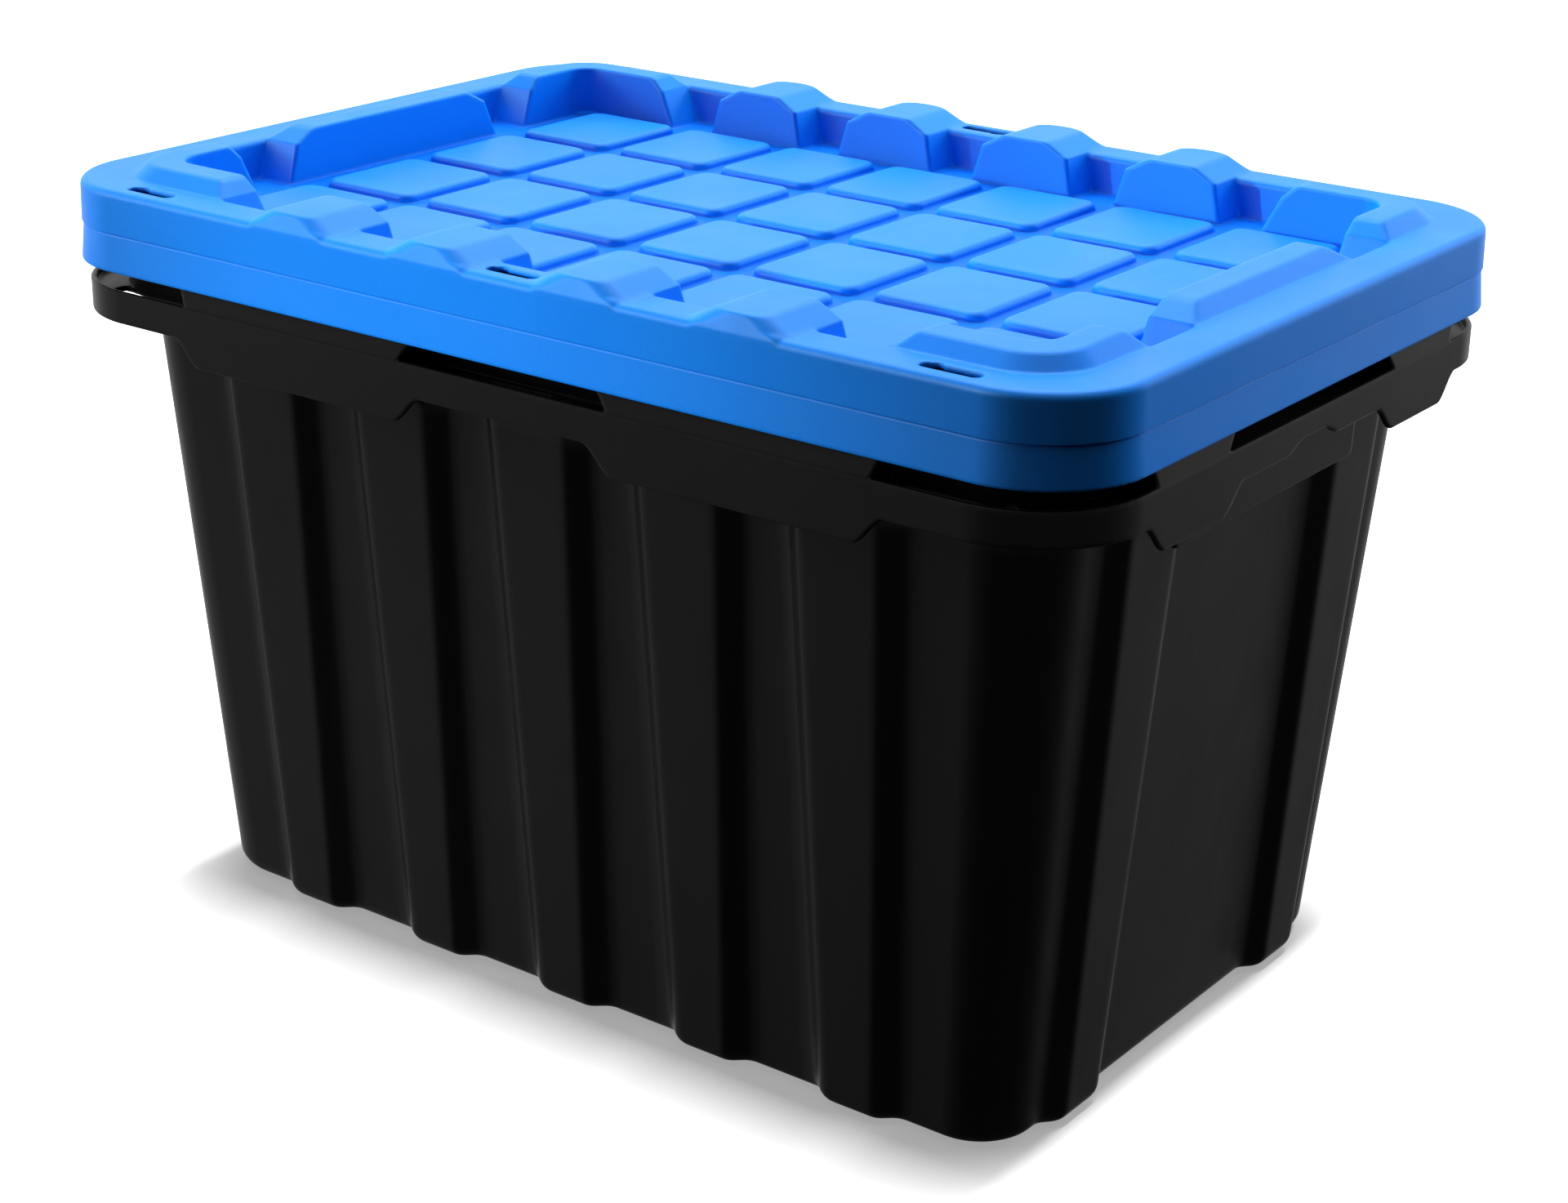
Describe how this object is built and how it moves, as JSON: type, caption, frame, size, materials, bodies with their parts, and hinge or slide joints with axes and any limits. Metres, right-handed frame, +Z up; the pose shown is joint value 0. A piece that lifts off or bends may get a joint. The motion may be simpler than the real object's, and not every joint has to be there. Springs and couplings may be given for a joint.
{
  "type": "snap lid storage tote",
  "caption": "Tapered storage tote with corrugated walls, a pocketed rim with hand grips, and a loose snap lid with a sunken padded panel and raised stacking blocks.",
  "frame": {"origin": "centre of the tote's footprint, on the ground plane under the floor", "axes": "+Z up; X along the tote's long side; Y along its short side; the two hand grips are at the -X and +X ends"},
  "size_m": [0.5518, 0.3748, 0.3518],
  "materials": {
    "black_polypropylene": "satin moulded polypropylene with a fine texture",
    "blue_polypropylene": "semi-matte moulded polypropylene with a fine grain"
  },
  "bodies": {
    "tote": {"tote_body": "black_polypropylene"},
    "lid": {"snap_lid": "blue_polypropylene"}
  },
  "joints": [
    {"name": "lid_lift_off", "type": "slide", "parent": "tote", "child": "lid", "axis": [0, 0, 1], "range_m": [0, 0.1]}
  ]
}
